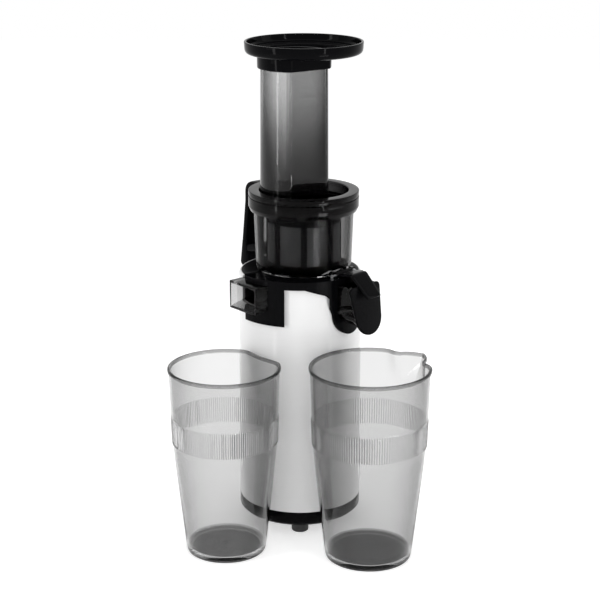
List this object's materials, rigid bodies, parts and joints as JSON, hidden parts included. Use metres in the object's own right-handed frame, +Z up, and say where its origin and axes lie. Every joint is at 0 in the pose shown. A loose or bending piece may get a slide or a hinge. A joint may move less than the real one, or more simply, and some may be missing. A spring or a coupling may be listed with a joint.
{
  "type": "vertical slow juicer",
  "caption": "Compact vertical slow juicer: motor base, clear bowl with strainer and auger, chute, hopper tray, pulp and juice cups.",
  "frame": {"origin": "centre of the motor housing, on the surface that the feet stand on", "axes": "+Z up, -Y to the front, where the outlets and cups are"},
  "size_m": [0.2047, 0.1938, 0.3955],
  "materials": {
    "white_plastic": "satin, faint fine grain",
    "black_gloss": "gloss",
    "black_satin": "satin",
    "smoke_clear": "clear gloss",
    "rubber": "matt",
    "silicone": "matt",
    "steel": "brushed",
    "bronze": "machined",
    "copper": "wound",
    "nylon": "moulded",
    "ferrite": "matt",
    "carbon": "matt",
    "board": "satin"
  },
  "bodies": {
    "base": {"motor_housing": "white_plastic", "top_deck": "black_satin", "base_cover": "black_gloss", "rubber_feet": "rubber", "base_screws": "steel", "shaft_seal": "rubber", "cord_gland": "black_satin", "switch_frame": "black_satin", "interlock_switch": "black_satin", "control_board": "board", "motor_can": "steel", "motor_magnets": "ferrite", "brush_cap": "black_satin", "motor_brushes": "carbon", "lower_bearing": "steel", "upper_bearing": "steel", "mounting_plate": "steel", "ring_gear": "nylon", "gearbox_cover": "nylon", "gearbox_screws": "steel", "output_bearing": "bronze"},
    "rocker": {"rocker_switch": "black_satin"},
    "plunger": {"interlock_plunger": "nylon"},
    "armature": {"armature_core": "copper", "motor_shaft": "steel", "commutator": "copper", "sun_gear": "steel"},
    "carrier": {"first_carrier": "steel"},
    "drive": {"drive_shaft": "steel"},
    "first_planet_a": {"first_planet_a": "nylon"},
    "first_planet_b": {"first_planet_b": "nylon"},
    "first_planet_c": {"first_planet_c": "nylon"},
    "last_planet_a": {"last_planet_a": "nylon"},
    "last_planet_b": {"last_planet_b": "nylon"},
    "last_planet_c": {"last_planet_c": "nylon"},
    "bowl": {"juicing_bowl": "smoke_clear", "pulp_outlet": "smoke_clear", "juice_outlet": "smoke_clear", "bowl_skirt": "black_gloss", "bowl_handle": "black_gloss", "bowl_seal": "silicone", "strainer_frame": "black_satin", "strainer_mesh": "steel", "cap_hinge_pin": "steel"},
    "auger": {"auger_core": "black_satin", "auger_flights": "black_satin", "auger_socket": "steel"},
    "juice_cap": {"juice_cap": "black_satin", "cap_lever": "black_gloss", "cap_seal": "silicone"},
    "lid_seal": {"lid_seal": "silicone"},
    "lid": {"lid": "smoke_clear", "feed_chute": "smoke_clear", "auger_bush": "nylon"},
    "tray": {"hopper_tray": "black_gloss", "tray_collar": "black_gloss"},
    "pulp_cup": {"pulp_cup": "smoke_clear"},
    "juice_cup": {"juice_cup": "smoke_clear"}
  },
  "joints": [
    {"name": "drive_spin", "type": "hinge", "parent": "base", "child": "drive", "pos_m": [0.003, 0, 0], "axis": [0, 0, 1], "continuous": true},
    {"name": "carrier_spin", "type": "hinge", "parent": "base", "child": "carrier", "pos_m": [0.003, 0, 0], "axis": [0, 0, 1], "continuous": true},
    {"name": "armature_spin", "type": "hinge", "parent": "base", "child": "armature", "pos_m": [0.003, 0, 0], "axis": [0, 0, 1], "continuous": true},
    {"name": "first_planet_a_spin", "type": "hinge", "parent": "carrier", "child": "first_planet_a", "pos_m": [0.0165, 0, 0], "axis": [0, 0, 1], "continuous": true},
    {"name": "last_planet_a_spin", "type": "hinge", "parent": "drive", "child": "last_planet_a", "pos_m": [0.0165, 0, 0], "axis": [0, 0, 1], "continuous": true},
    {"name": "first_planet_b_spin", "type": "hinge", "parent": "carrier", "child": "first_planet_b", "pos_m": [-0.00375, 0.01169, 0], "axis": [0, 0, 1], "continuous": true},
    {"name": "last_planet_b_spin", "type": "hinge", "parent": "drive", "child": "last_planet_b", "pos_m": [-0.00375, 0.01169, 0], "axis": [0, 0, 1], "continuous": true},
    {"name": "first_planet_c_spin", "type": "hinge", "parent": "carrier", "child": "first_planet_c", "pos_m": [-0.00375, -0.01169, 0], "axis": [0, 0, 1], "continuous": true},
    {"name": "last_planet_c_spin", "type": "hinge", "parent": "drive", "child": "last_planet_c", "pos_m": [-0.00375, -0.01169, 0], "axis": [0, 0, 1], "continuous": true},
    {"name": "bowl_lift", "type": "slide", "parent": "base", "child": "bowl", "axis": [0, 0, 1], "range_m": [0, 0.08]},
    {"name": "auger_spin", "type": "hinge", "parent": "bowl", "child": "auger", "pos_m": [0.003, 0, 0], "axis": [0, 0, 1], "continuous": true},
    {"name": "juice_cap_hinge", "type": "hinge", "parent": "bowl", "child": "juice_cap", "pos_m": [0.03406, -0.02797, 0.216], "axis": [-0.6691, -0.7431, 0], "range_deg": [0, 80]},
    {"name": "lid_lift", "type": "slide", "parent": "bowl", "child": "lid_seal", "axis": [0, 0, 1], "range_m": [0, 0.06]},
    {"name": "lid_turn", "type": "hinge", "parent": "lid_seal", "child": "lid", "pos_m": [0.003, 0, 0], "axis": [0, 0, 1], "range_deg": [-28, 0]},
    {"name": "tray_lift", "type": "slide", "parent": "lid", "child": "tray", "axis": [0, 0, 1], "range_m": [0, 0.03]},
    {"name": "rocker_tilt", "type": "hinge", "parent": "base", "child": "rocker", "pos_m": [0, 0.0465, 0.078], "axis": [1, 0, 0], "range_deg": [-9, 9]},
    {"name": "interlock_press", "type": "slide", "parent": "base", "child": "plunger", "axis": [0, 0, 1], "range_m": [-0.0015, 0], "stiffness_N_per_m": 150},
    {"name": "pulp_cup_slide", "type": "slide", "parent": "base", "child": "pulp_cup", "axis": [-0.655, -0.7556, 0], "range_m": [0, 0.1]},
    {"name": "juice_cup_slide", "type": "slide", "parent": "base", "child": "juice_cup", "axis": [0.545, -0.8384, 0], "range_m": [0, 0.1]}
  ],
  "couplings": [
    {"joint": "carrier_spin", "follows": "drive_spin", "ratio": 4.5},
    {"joint": "armature_spin", "follows": "drive_spin", "ratio": 20.25},
    {"joint": "first_planet_a_spin", "follows": "drive_spin", "ratio": -12.6},
    {"joint": "last_planet_a_spin", "follows": "drive_spin", "ratio": -2.8},
    {"joint": "first_planet_b_spin", "follows": "drive_spin", "ratio": -12.6},
    {"joint": "last_planet_b_spin", "follows": "drive_spin", "ratio": -2.8},
    {"joint": "first_planet_c_spin", "follows": "drive_spin", "ratio": -12.6},
    {"joint": "last_planet_c_spin", "follows": "drive_spin", "ratio": -2.8},
    {"joint": "auger_spin", "follows": "drive_spin", "ratio": 1}
  ]
}
